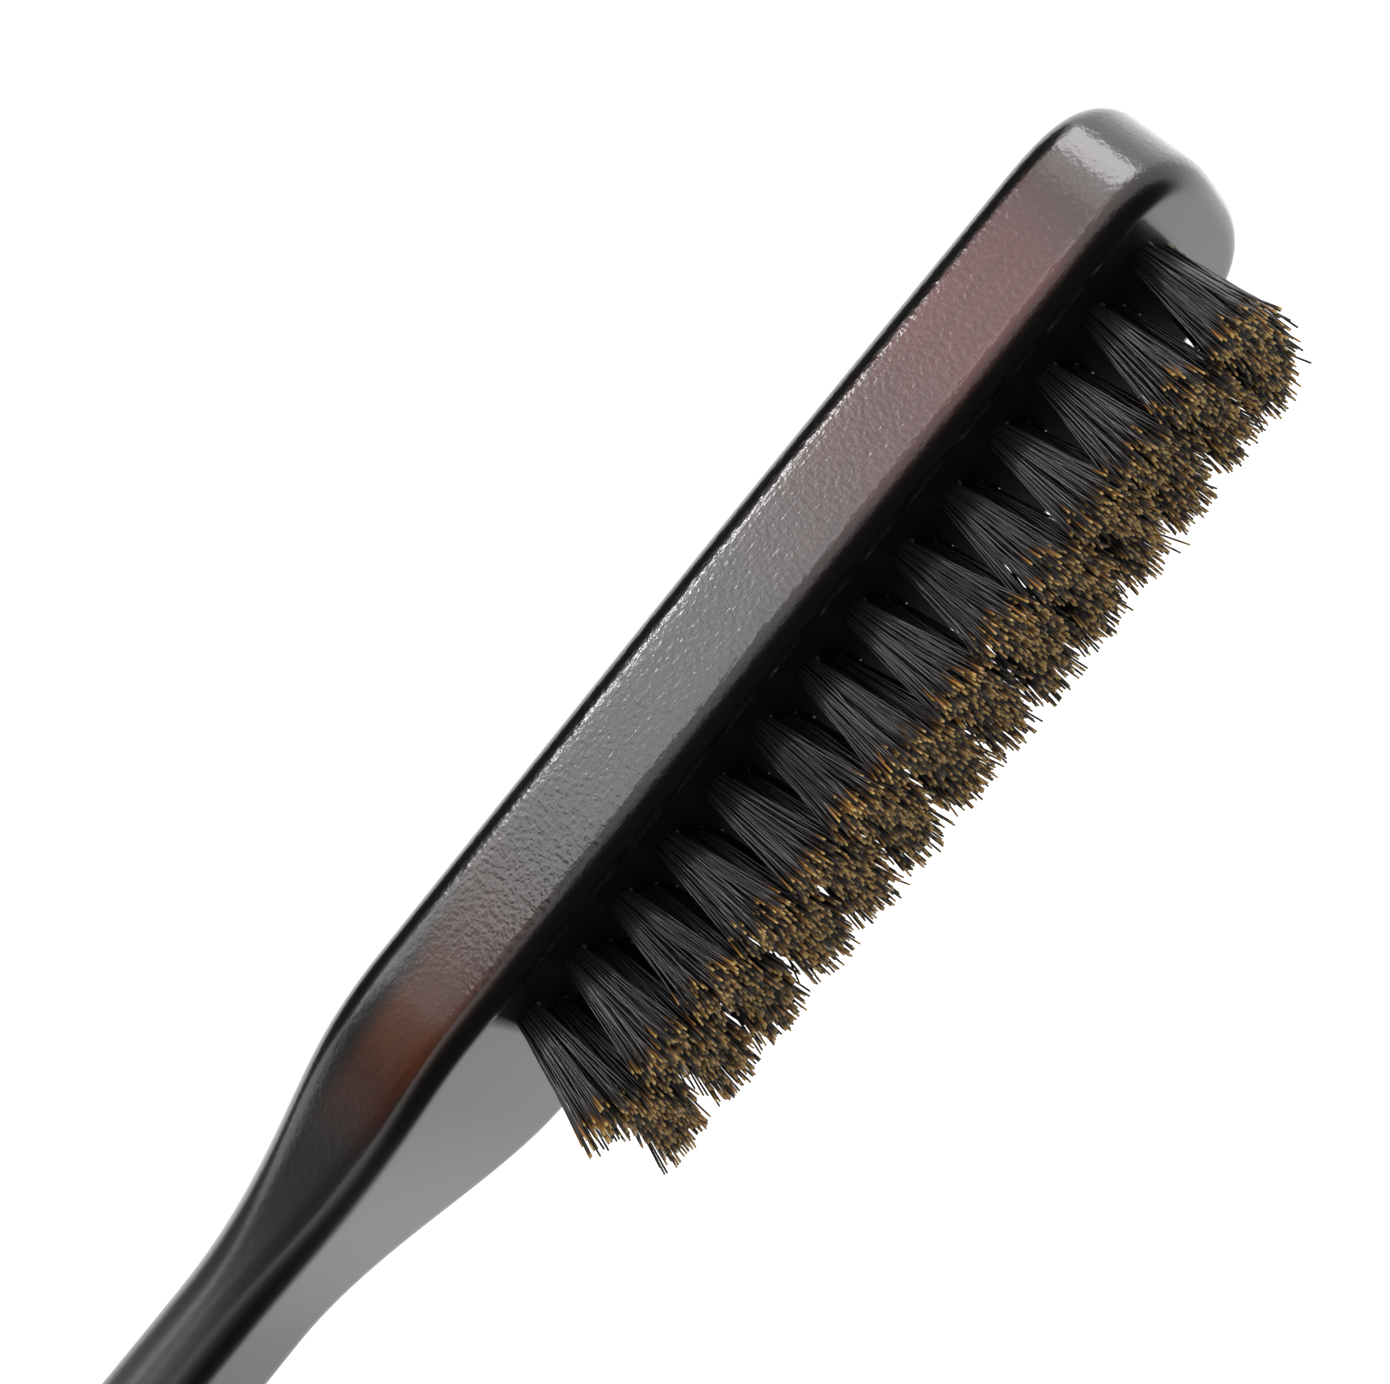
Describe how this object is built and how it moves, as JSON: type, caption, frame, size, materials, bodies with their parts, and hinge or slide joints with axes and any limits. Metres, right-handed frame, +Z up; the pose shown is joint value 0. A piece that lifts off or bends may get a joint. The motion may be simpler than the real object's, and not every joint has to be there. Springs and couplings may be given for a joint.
{
  "type": "beard brush",
  "caption": "Long-handled wooden brush: blunt head set with short boar bristle tufts in straight rows, waisted neck and slim rounded handle.",
  "frame": {"origin": "under the middle of the brush's length and width, on the surface that the back lies on", "axes": "+X along the brush from handle to head, +Y to the left, +Z up out of the back along the bristles"},
  "size_m": [0.186, 0.03, 0.0244],
  "materials": {
    "lacquered_wood": "dark stained, glossy clear lacquer",
    "boar_bristle": "dyed black, with blond cut ends",
    "anchor_wire": "bright drawn wire"
  },
  "bodies": {
    "root": {"brush_body": "lacquered_wood", "tufts_01_left": "boar_bristle", "tufts_01_centre": "boar_bristle", "tufts_01_right": "boar_bristle", "tufts_02_left": "boar_bristle", "tufts_02_centre": "boar_bristle", "tufts_02_right": "boar_bristle", "tufts_03_left": "boar_bristle", "tufts_03_centre": "boar_bristle", "tufts_03_right": "boar_bristle", "tufts_04_left": "boar_bristle", "tufts_04_centre": "boar_bristle", "tufts_04_right": "boar_bristle", "tufts_05_left": "boar_bristle", "tufts_05_centre": "boar_bristle", "tufts_05_right": "boar_bristle", "tufts_06_left": "boar_bristle", "tufts_06_centre": "boar_bristle", "tufts_06_right": "boar_bristle", "tufts_07_left": "boar_bristle", "tufts_07_centre": "boar_bristle", "tufts_07_right": "boar_bristle", "tufts_08_left": "boar_bristle", "tufts_08_centre": "boar_bristle", "tufts_08_right": "boar_bristle", "tufts_09_left": "boar_bristle", "tufts_09_centre": "boar_bristle", "tufts_09_right": "boar_bristle", "tufts_10_left": "boar_bristle", "tufts_10_centre": "boar_bristle", "tufts_10_right": "boar_bristle", "tufts_11_left": "boar_bristle", "tufts_11_centre": "boar_bristle", "tufts_11_right": "boar_bristle", "tufts_12_left": "boar_bristle", "tufts_12_centre": "boar_bristle", "tufts_12_right": "boar_bristle", "tufts_13_left": "boar_bristle", "tufts_13_centre": "boar_bristle", "tufts_13_right": "boar_bristle", "tufts_14_left": "boar_bristle", "tufts_14_centre": "boar_bristle", "tufts_14_right": "boar_bristle"}
  },
  "joints": []
}
